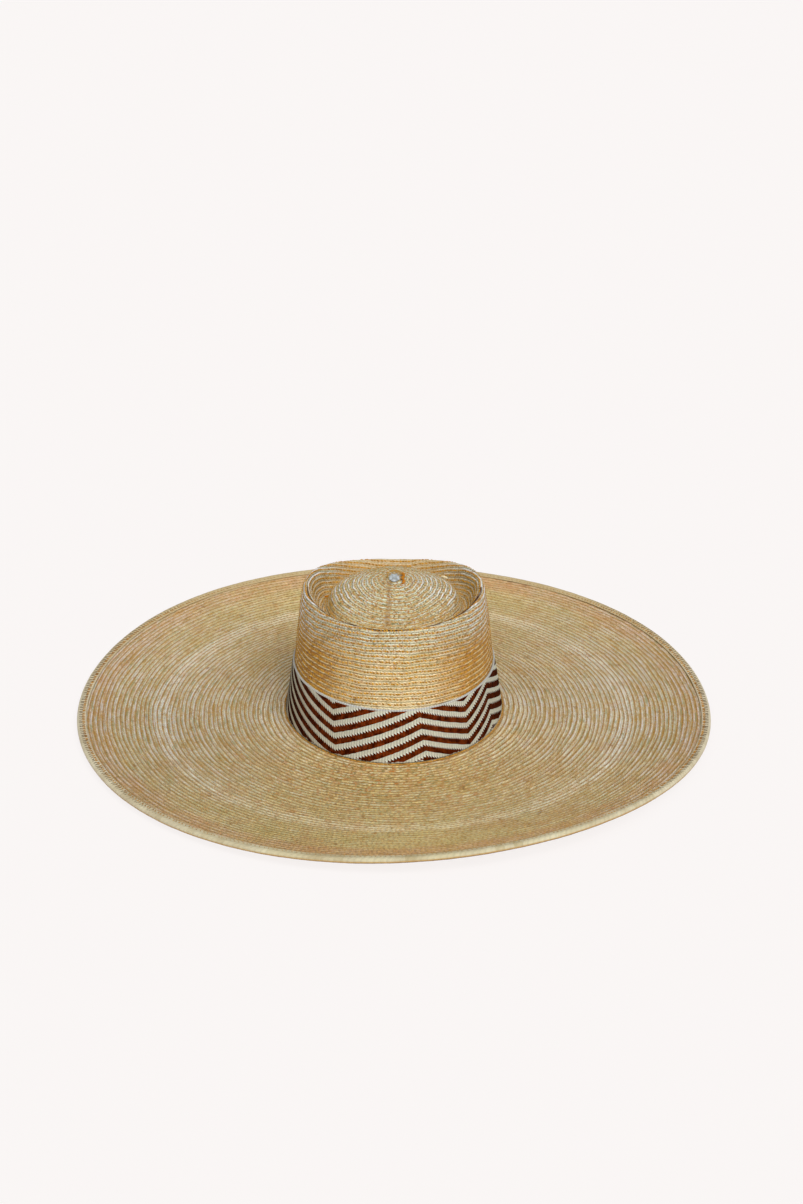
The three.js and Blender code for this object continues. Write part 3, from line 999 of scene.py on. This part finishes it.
def leaf_colour(nodes, at, zones, look):
    """Zones of rows, single strips and leaves, patches, flecks, streaks and stains."""
    colour = nodes.ramp(at.place, zones)
    for kind in ("Leaf", "Strip"):
        own = nodes.ramp(at.plait[f"{kind} Tint"], look["mix"])
        colour = nodes.blend(nodes.times(at.short, look[kind]), colour, own)
    patch = nodes.noise(at.spot, 38.0, 3.0)
    for start, end, patch_colour in LEAF_PATCHES:
        colour = nodes.blend(nodes.rise(patch, start, end, 0.0, PATCH_STRENGTH), colour, patch_colour)
    for flecks, strength, where in ((SHORT_FLECKS, look["fleck"], at.short),
                                    (LONG_STREAKS, look["streak"], at.sideways)):
        for per_metre, per_row, seed, start, end, fleck_colour in flecks:
            grain = nodes.joined(nodes.times(at.along, per_metre * look["dash"]),
                                 nodes.times(at.row, per_row), seed)
            fleck = nodes.rise(nodes.noise(grain, 1.0), start, end, 0.0, strength)
            colour = nodes.blend(nodes.times(fleck, where), colour, fleck_colour)
    return nodes.blend(nodes.rise(at.speck, 0.66, 0.74, 0.0, 0.6), colour, STAIN_COLOUR)


# %% [markdown]
# ### Painted light and shade on the braid
# At the hat's sides the crown's leaf is painted golden and the brim's front yellower, as painted shade
# where the light falls off, and the highest part of each row is painted pale as a highlight, strongest
# where one looks along the braid at the sides. The walls of the moat are painted darker, as the shade in
# that hollow. The sewing shows as a warm line that is stronger on some strips, and the step between
# rows as a brown painted shadow that gapes here and there. Two lines of painted shade lie on the crown:
# a dark one inside the front crest and a faint one along the crease from the knot to it, which the mesh
# does not dent. Stronger lamps could bring out the rows too, but the light on a real hat like this one
# is soft and even, so this light and shade is painted into the leaf's colour.

# %% Painted shade at the sides and in the moat, painted highlight on the rows
MOAT_SHADE = 0.35
STRIP_HIGHLIGHT, FLANK_GAIN = 1.8, 1.25
BACK_WALL = (0.045, 0.065)  # metres behind the middle, where it starts and where it is full


def painted_light_and_shade(nodes, at, colour, look):
    """Paints shade at the sides, a highlight on the high part of the rows and shade on the walls of the
    moat.
    """
    behind = nodes.rise(at.depth, -0.05, 0.2, 0.0, look["behind"])
    # The golden tint at the sides, and the brim's yellower front, are painted shade where the light falls
    # off.
    golden = nodes.rise(at.sideways, look["side_from"], look["side_full"])
    side = nodes.blend(nodes.plus(golden, behind), look["front"], look["side"])
    colour = nodes.blend(1.0, colour, nodes.blend(at.wall, look["top"], side), "MULTIPLY")
    # A painted highlight on the rows' high part, strongest at the hat's sides.
    flank = nodes.times(at.sideways, nodes.sums("MAXIMUM", at.wall, nodes.times(at.sideways, FLANK_GAIN)))
    pale = nodes.plus(nodes.times(flank, look["pale_side"]), nodes.times(at.wall, look["pale"]))
    pale = nodes.times(nodes.times(at.plait["Strip Tint"], STRIP_HIGHLIGHT), pale)
    pale = nodes.times(pale, nodes.ramp(at.place, look["highlighted_rows"]))
    pale = nodes.sums("MINIMUM", nodes.times(at.plait["Highlight Line"], pale), 1.0)
    colour = nodes.blend(pale, colour, nodes.blend(at.wall, look["pale_top"], look["pale_colour"]))
    far = nodes.rise(at.depth, *BACK_WALL, 0.0, look["far"])
    at.far = nodes.times(far, nodes.rest_of(at.wall))
    # Painted shade on the walls of the moat, the hollow inside the crest; the back wall takes the same
    # colour.
    inner = nodes.times(nodes.ramp(at.place, look["inner"]), MOAT_SHADE)
    return nodes.blend(nodes.sums("MAXIMUM", at.far, inner), colour, look["far_colour"])


# %% Sewing, and the painted shadow in the steps
NEAR_TIP = (0.44, 0.28)  # share of the rows where it starts and where it is full
GAPS_PER_METRE = 14.0
GAP_NOISE, GAP_STRENGTH = (0.4, 0.66), (0.75, 1.9)


def sewn(nodes, at, colour, look):
    """Draws the warm line of the sewing and the painted brown shadow in the steps between the rows."""
    worn = nodes.plus(nodes.scaled(at.plait["Strip Tint"], 0.5, 0.35), nodes.times(at.speck, 0.6))
    worn = nodes.times(nodes.times(worn, nodes.scaled(at.lively, 0.6, 0.4)), look["thread"])
    line = nodes.sums("MINIMUM", nodes.times(at.plait["Thread Line"], worn), 1.0)
    near_tip = nodes.rise(at.place, *NEAR_TIP)
    fine = nodes.times(near_tip, at.sideways)
    line = nodes.times(line, nodes.scaled(fine, -look["thread_fine"], 1.0))
    colour = nodes.blend(line, colour, nodes.blend(near_tip, look["thread_colour"], look["thread_top"]))
    gaping = nodes.noise(nodes.joined(nodes.times(at.along, GAPS_PER_METRE), at.row), 1.0, 1.0)
    # Painted shadow in the step between rows, gaping here and there.
    step = nodes.times(at.plait["Step Shadow"], nodes.scaled(at.sideways, look["step_shadow_side"], look["step"]))
    step = nodes.times(step, nodes.rise(gaping, *GAP_NOISE, *GAP_STRENGTH))
    step = nodes.sums("MINIMUM", step, nodes.rest_of(at.far))
    return nodes.blend(step, colour, look["step_shadow_colour"])


# %% The whole finish of the braid
def palm_braid(name, zones, rows, look, shade_lines=()):
    """The finish of the braid, from the leaf up to the lines of painted shade."""
    made, nodes, surface = new_material(name)
    at = read_braid(nodes, rows, look)
    colour = leaf_colour(nodes, at, zones, look)
    colour = sewn(nodes, at, painted_light_and_shade(nodes, at, colour, look), look)
    # Lines of painted shade: dark inside the front crest, faint along the crease.
    for attribute, half, strength, line_shade_colour in shade_lines:
        away = nodes.sums("ABSOLUTE", nodes.measure(attribute))
        broken = nodes.scaled(at.speck, 1.6, strength - 0.8)
        colour = nodes.blend(nodes.times(nodes.rise(away, half, half * 0.3), broken), colour, line_shade_colour)
    fibre, strip = at.plait["Fibre"], at.plait["Strip Height"]
    shade = nodes.times(nodes.rise(fibre, 0.3, 0.7, 0.84, 1.12),
                        nodes.scaled(strip, look["depth"], 1.08 - look["depth"]))
    shade = nodes.times(shade, nodes.scaled(nodes.noise(at.spot, 9.0, 4.0), 0.3, 0.85))
    # Painted light: the braid is made lighter towards the back of the hat.
    shade = nodes.times(shade, nodes.scaled(at.depth, look["lighter_behind"], 1.0))
    return finish(made, nodes, surface, nodes.shaded(colour, shade), nodes.scaled(fibre, 0.25, 0.36),
                  nodes.plus(strip, nodes.times(fibre, 0.35)), 0.7, 0.0003, 0.2)


# %% The looks of crown and brim
def greys(*stops):
    """Stops of a ramp that is a measure: places and greys."""
    return [(at, (grey,) * 3) for at, grey in stops]


crown_look = {
    # leaves and strips: their mix, how strongly they show, a leaf's length in metres
    "mix": CROWN_LEAF_MIX, "Leaf": 0.3, "Strip": 0.6, "leaf_length": 0.0065,
    # at the front: livelier near the tip, calmer further out; and at the sides
    "lively": 0.5, "calm": 0.55, "settled": 0.0,
    # flecks and streaks: strength, how short they are
    "fleck": 0.95, "streak": 0.4, "dash": 2.2,
    # tints of the crest and island, and of the wall below them, front and sides; the golden side tint is
    # painted shade
    "wall_from": 0.54, "top": (244, 255, 254), "front": (255, 254, 248), "side": (226, 184, 116),
    "side_from": 0.05, "side_full": 0.42, "behind": 0.0,
    # painted highlight on the high part of the rows: on the wall, at the sides, and where from tip to foot
    "pale": 0.3, "pale_side": 1.15, "pale_top": (244, 244, 246), "pale_colour": (238, 220, 172),
    "highlighted_rows": greys((0.0, 215), (0.25, 215), (0.29, 80), (0.42, 120), (0.455, 255)),
    # the back wall, and the walls of the moat painted darker as shade
    "far": 0.6, "far_colour": (206, 172, 116),
    "inner": greys((0.0, 0), (0.26, 0), (0.31, 255), (0.41, 255), (0.445, 0)),
    # the line of the sewing, and how much finer it is near the tip
    "thread": 0.68, "thread_colour": (192, 132, 32), "thread_top": (180, 144, 84), "thread_fine": 0.5,
    # the painted shadow in the steps between rows, the strips' shading, the painted lightening towards the
    # back
    "step": 0.55, "step_shadow_side": 0.5, "step_shadow_colour": (90, 54, 12), "depth": 0.4, "lighter_behind": 0.0,
}
brim_look = {
    "mix": BRIM_LEAF_MIX, "Leaf": 0.4, "Strip": 0.55, "leaf_length": 0.01,
    "lively": 0.1, "calm": 0.7, "settled": 0.5,
    "fleck": 0.9, "streak": 0.8, "dash": 1.0,
    "wall_from": -1.0, "top": (255, 255, 255), "front": (252, 240, 206), "side": (255, 255, 255),
    "side_from": 0.0, "side_full": 1.0, "behind": 0.03,
    "pale": 0.05, "pale_side": 0.15, "pale_top": (226, 226, 226), "pale_colour": (226, 226, 226),
    "highlighted_rows": greys((0.0, 255), (1.0, 255)),
    "far": 0.0, "far_colour": (255, 255, 255), "inner": greys((0.0, 0), (1.0, 0)),
    "thread": 0.7, "thread_colour": (154, 110, 42), "thread_top": (154, 110, 42), "thread_fine": 0.0,
    "step": 0.33, "step_shadow_side": 0.1, "step_shadow_colour": (136, 112, 66), "depth": 0.36, "lighter_behind": 0.5,
}
# Painted shade: a dark shadow line inside the front crest, and a faint shaded line along a crease that the
# mesh does not dent.
CROWN_SHADE_LINES = [
    # measure, half width in mm, strength, colour
    ("past_crest", 1.3, 1.1, (74, 38, 14)), ("from_crease", 3.0, 0.5, (146, 106, 62)),
]
crown_braid.data.materials.append(
    palm_braid("palm braid, crown", CROWN_ZONES, CROWN_ROWS, crown_look, CROWN_SHADE_LINES))
brim_braid.data.materials.append(palm_braid("palm braid, brim", BRIM_ZONES, BRIM_ROWS, brim_look))

# %% [markdown]
# ### Thread, folded edge, knot
# The thread is a waxed golden yarn: every stitch has its own tint, from amber to pale gold, and a fine
# twist in its bump. It is paler where the light wears it, near the tip and at the front of the edge.
# The folded edge is paler leaf than the brim, and painted darker on its underside as the shade under
# the edge. The knot is old leaf, almost grey.

# %% Thread and small straw materials
OVAL_TO_ROUND = (1.3, 1.0, 0.0)
CREST_INSIDE = (0.07, 0.062)


def thread_material(name, dark, light, front=None, top=None):
    """Waxed yarn between two tints, with another colour at the hat's front or inside the crest."""
    made, nodes, surface = new_material(name)
    spot = nodes.spot()
    wear = nodes.noise(spot, 900.0)
    colour = nodes.blend(nodes.measure("tint"), dark, light)
    colour = nodes.blend(nodes.times(wear, 0.35), colour, light)
    if front:
        away = nodes.rest_of(side_of_hat(nodes, spot)[0])
        colour = nodes.blend(nodes.times(away, 0.8), colour, front)
    if top:
        oval = nodes.add("ShaderNodeVectorMath", {0: spot, 1: OVAL_TO_ROUND}, operation="MULTIPLY")
        radius = nodes.add("ShaderNodeVectorMath", {0: oval.outputs[0]}, operation="LENGTH")
        inside = nodes.rise(radius.outputs["Value"], *CREST_INSIDE, 0.0, 0.65)
        colour = nodes.blend(inside, colour, top)
    return finish(made, nodes, surface, colour, nodes.scaled(wear, 0.3, 0.35), wear, 0.5, 0.0002, 0.2)


def plain_leaf(name, pale, dark):
    """Leaf with soft patches and fine fibres between a pale and a dark colour."""
    made, nodes, surface = new_material(name)
    spot = nodes.spot()
    fibres = nodes.noise(spot, 3600.0)
    mix = nodes.rise(nodes.plus(nodes.noise(spot, 300.0, 4.0), fibres), 0.8, 1.2)
    return finish(made, nodes, surface, nodes.blend(mix, dark, pale), nodes.scaled(fibres, 0.2, 0.5),
                  fibres, 0.5, 0.0002, 0.5)


golden_thread = thread_material("golden thread", (140, 92, 6), (210, 156, 36), top=(190, 150, 84))
brim_thread = thread_material("golden thread, brim", (150, 112, 44), (192, 154, 84))
edge_thread = thread_material("golden thread, edge", (112, 72, 24), (186, 136, 60), (178, 144, 96))
tie_thread = thread_material("edge ties", (44, 30, 14), (96, 72, 40), (196, 180, 144))
tip_yarn = thread_material("golden thread, tip", (184, 116, 22), (230, 156, 40))
foot_yarn = thread_material("golden thread, foot", (160, 108, 34), (208, 156, 74))
knot_leaf = plain_leaf("old palm leaf", (202, 212, 220), (146, 150, 148))
end_leaf = plain_leaf("pale palm leaf", (250, 240, 206), (226, 208, 160))
for made, pieces in ((golden_thread, (crown_stitches, knot_thread)), (brim_thread, (brim_stitches,)),
                     (edge_thread, (edge_stitches,)), (tie_thread, (edge_ties,)),
                     (tip_yarn, (*tip_threads, moat_thread)), (foot_yarn, (foot_stitches,)),
                     (knot_leaf, (start_knot,)), (end_leaf, (straw_end,))):
    for piece in pieces:
        piece.data.materials.append(made)


# %% The folded edge's material
def folded_edge():
    made, nodes, surface = new_material("palm braid, folded edge")
    along, row, _ = nodes.braid_uv()
    inputs = {"Along": along, "Row": row, "Strip Width": 0.0042, "Slant": 1.6}
    plaited = nodes.add("ShaderNodeGroup", inputs, node_tree=plait.tree)
    strip, leaf, fibre = (plaited.outputs[label] for label in ("Strip Height", "Leaf Tint", "Fibre"))
    spot = nodes.spot()
    slow = nodes.rise(nodes.noise(spot, 26.0, 3.0), 0.35, 0.65)
    colour = nodes.blend(slow, (168, 152, 114), (194, 184, 148))
    sideways, depth = side_of_hat(nodes, spot)
    pale = nodes.times(leaf, nodes.scaled(sideways, 0.35, 0.3))
    colour = nodes.blend(pale, colour, (224, 222, 198))
    colour = nodes.blend(nodes.times(sideways, 0.6), colour, (212, 200, 174))
    colour = nodes.blend(nodes.rise(depth, 0.0, 0.15, 0.0, 0.7), colour, (186, 162, 116))
    under = nodes.measure("under")
    # The underside is painted darker: painted shade under the edge.
    for start, end, underside_shade_colour in ((0.25, 0.5, (190, 154, 96)), (0.6, 0.85, (98, 64, 34))):
        colour = nodes.blend(nodes.rise(under, start, end), colour, underside_shade_colour)
    shade = nodes.times(nodes.scaled(strip, 0.12, 0.9), nodes.scaled(fibre, 0.3, 0.85))
    return finish(made, nodes, surface, nodes.shaded(colour, shade), nodes.scaled(slow, 0.2, 0.52),
                  strip, 0.7, 0.0003, 0.2)


edge_braid.data.materials.append(folded_edge())


# %% [markdown]
# ### Tapestry cloth
# The cloth reads the stripe place that each vertex carries. Where its fraction is under the dark share
# the weft is red-brown, otherwise off-white. The lower edge of an off-white stripe is toothed: each
# rib drops a slanted float over the brown, with a painted highlight at its end, so the threshold there
# moves with the rib. Upper edges are smooth. The cloth is painted darker and browner on its left side,
# and the brown deeper where one looks along the ribs, as painted shade where the light falls off at the
# crown's sides. Painting the zigzag on an image would blur these teeth, so nodes draw them.

# %% The band's material
WEFTS_PER_METRE = 900.0
SHADED_LEFT = (-0.03, -0.08)
UPPER_SHARE, LOWER_SHARE = 0.275, 0.735
TOOTH, RIB_JITTER = 0.24, 0.03
TOP_SELVAGE = 0.041


def brown_of_zigzag(nodes, phase, toothed, wider, up, blotch):
    """Where the weft is red-brown, and where the cloth is under its upper selvage."""
    upper = nodes.sums("LESS_THAN", toothed, nodes.plus(wider, UPPER_SHARE))
    lower = nodes.sums("GREATER_THAN", phase, nodes.scaled(wider, -0.8, LOWER_SHARE))
    over_foot = nodes.sums("GREATER_THAN", up, nodes.scaled(blotch, 0.004, -0.0005))
    under_top = nodes.sums("LESS_THAN", up, TOP_SELVAGE)
    brown = nodes.times(nodes.sums("MAXIMUM", upper, lower), nodes.times(over_foot, under_top))
    return brown, under_top


def tapestry():
    made, nodes, surface = new_material("woven zigzag cloth")
    along, up, _ = nodes.braid_uv()
    ribs = nodes.times(along, RIBS / (BAND_LENGTH * MM))
    rib_share = nodes.sums("FRACT", ribs)
    rib_chance = nodes.random(nodes.sums("FLOOR", ribs))
    jitter = nodes.times(nodes.sums("SUBTRACT", rib_chance, 0.5), RIB_JITTER)
    phase = nodes.sums("FRACT", nodes.plus(nodes.measure("stripe"), jitter))
    toothed = nodes.plus(phase, nodes.times(nodes.sums("SUBTRACT", rib_share, 0.5), TOOTH))
    spot = nodes.spot()
    sideways = side_of_hat(nodes, spot)[0]
    # Painted shade: the band's left side is darker and browner, and its brown wider.
    left_shade = nodes.rise(nodes.parts(spot)[0], *SHADED_LEFT)
    fuzz, blotch = nodes.noise(spot, 700.0), nodes.noise(spot, 240.0)
    wider = nodes.scaled(left_shade, 0.04, nodes.times(sideways, 0.02))
    brown, under_top = brown_of_zigzag(nodes, phase, toothed, wider, up, blotch)
    weft = nodes.sums("FRACT", nodes.plus(nodes.times(up, WEFTS_PER_METRE), nodes.times(rib_share, 0.9)))
    weft_round, rib_round = (nodes.sums("SINE", nodes.times(share, math.pi)) for share in (weft, rib_share))
    pale = nodes.blend(fuzz, (186, 178, 160), (222, 228, 212))
    # A painted highlight at the end of each float, brightest at the rib's middle.
    float_highlight = nodes.times(nodes.times(nodes.rise(toothed, 0.42, 0.3), rib_round), 0.8)
    pale = nodes.blend(float_highlight, pale, (244, 250, 240))
    pale = nodes.blend(nodes.times(left_shade, 0.35), pale, (170, 146, 116))
    pale = nodes.blend(under_top, (190, 190, 184), pale)
    dark = nodes.blend(nodes.rise(blotch, 0.35, 0.65), (58, 14, 0), (120, 50, 15))
    # Painted shade: the brown is deeper at the sides.
    deeper_shade = nodes.times(sideways, nodes.scaled(left_shade, 0.25, 0.7))
    dark = nodes.blend(deeper_shade, dark, (30, 3, 0))
    shade = nodes.times(nodes.scaled(rib_round, 0.34, 0.72), nodes.scaled(weft_round, 0.16, 0.88))
    return finish(made, nodes, surface, nodes.shaded(nodes.blend(brown, pale, dark), shade),
                  nodes.scaled(fuzz, 0.2, 0.72), nodes.plus(nodes.times(weft_round, 0.5), rib_round),
                  0.6, 0.0003, 0.02)


hat_band.data.materials.append(tapestry())

# %% [markdown]
# ## Joining the pieces to the part
# Every piece rides on the hat's one body. The braid, edge, band and knot stand for the plain solids of
# the CAD part, and those solids are hidden. Nothing stays of the plain solids, because each of them has
# its own woven or plaited form now.

# %% Ride and replace
hat_pieces = [crown_braid, brim_braid, crown_stitches, brim_stitches, edge_braid, edge_stitches,
              edge_ties, foot_stitches, hat_band, start_knot, *tip_threads, knot_thread, moat_thread,
              straw_end]
for piece in hat_pieces:
    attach(piece, "root")
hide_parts("crown")
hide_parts("brim")
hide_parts("edge_binding")
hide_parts("hat_band")
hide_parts("tip_button")
print("pieces on the hat:", len(hat_pieces))

# %% [markdown]
# ## Table, light and camera
# The hat lies on a white table under soft light from the front and the right. A plain white plane would
# darken under the hat and grey away with distance. The table therefore glows a little, like the lit
# table of a studio, and stays even and white round the hat. Two suns that are wide across give soft
# shadows without any distance to set, and the camera looks down at the photograph's angle.

# %% The table
bpy.ops.mesh.primitive_plane_add(size=24, location=(0, 0, 0))
table = bpy.context.object
table.name = "studio_table"
table_white, _, surface = new_material("white table")
for label, value in (("Base Color", (0.08, 0.08, 0.08, 1)), ("Roughness", 0.9), ("Specular IOR Level", 0.0),
                     ("Emission Color", paint((250, 246, 245))), ("Emission Strength", 0.915)):
    surface[label].default_value = value
table.data.materials.append(table_white)
print("table stands at", tuple(table.location))

# %% Studio light
scene = bpy.context.scene
scene.view_settings.view_transform = "Standard"
world = bpy.data.worlds.new("studio")
scene.world = world
world.use_nodes = True
world.node_tree.nodes["Background"].inputs[0].default_value = (1.0, 0.985, 0.97, 1)
world.node_tree.nodes["Background"].inputs[1].default_value = 0.2


def soft_sun(name, towards, strength, spread, colour):
    """A wide soft sun that shines from a direction."""
    light = bpy.data.lights.new(name, "SUN")
    light.energy = strength
    light.angle = math.radians(spread)
    light.color = colour
    lamp = bpy.data.objects.new(name, light)
    lamp.rotation_euler = Vector(towards).to_track_quat("Z", "Y").to_euler()
    scene.collection.objects.link(lamp)
    print(name, "sun:", strength, "over", spread, "degrees")


soft_sun("key", (0.65, -1.25, 1.7), 2.2, 35, (1.0, 0.985, 0.965))
soft_sun("fill", (-0.21, -0.56, 0.81), 1.05, 50, (1.0, 0.99, 0.975))

# %% Camera at the photograph's angle
ELEVATION = math.radians(25.61)
DISTANCE = 2.0
WIDTH_PX, SCALE_PX = 803, 2547.2
SHIFT_X_PX, SHIFT_Y_PX = 7.6, 102.5
SENSOR = 36
lens = bpy.data.cameras.new("camera")
lens.sensor_fit = "HORIZONTAL"
lens.sensor_width = SENSOR
lens.lens = SCALE_PX / WIDTH_PX * SENSOR
lens.shift_x = SHIFT_X_PX / WIDTH_PX
lens.shift_y = SHIFT_Y_PX / WIDTH_PX
lens.clip_start, lens.clip_end = 0.05, 60
camera = bpy.data.objects.new("camera", lens)
scene.collection.objects.link(camera)
aim = Vector((0, 0, CROWN_FOOT * MM))
back = Vector((0, -math.cos(ELEVATION), math.sin(ELEVATION)))
camera.location = aim + back * DISTANCE
camera.rotation_euler = back.to_track_quat("Z", "Y").to_euler()
scene.camera = camera
print("lens, mm:", round(lens.lens, 1))
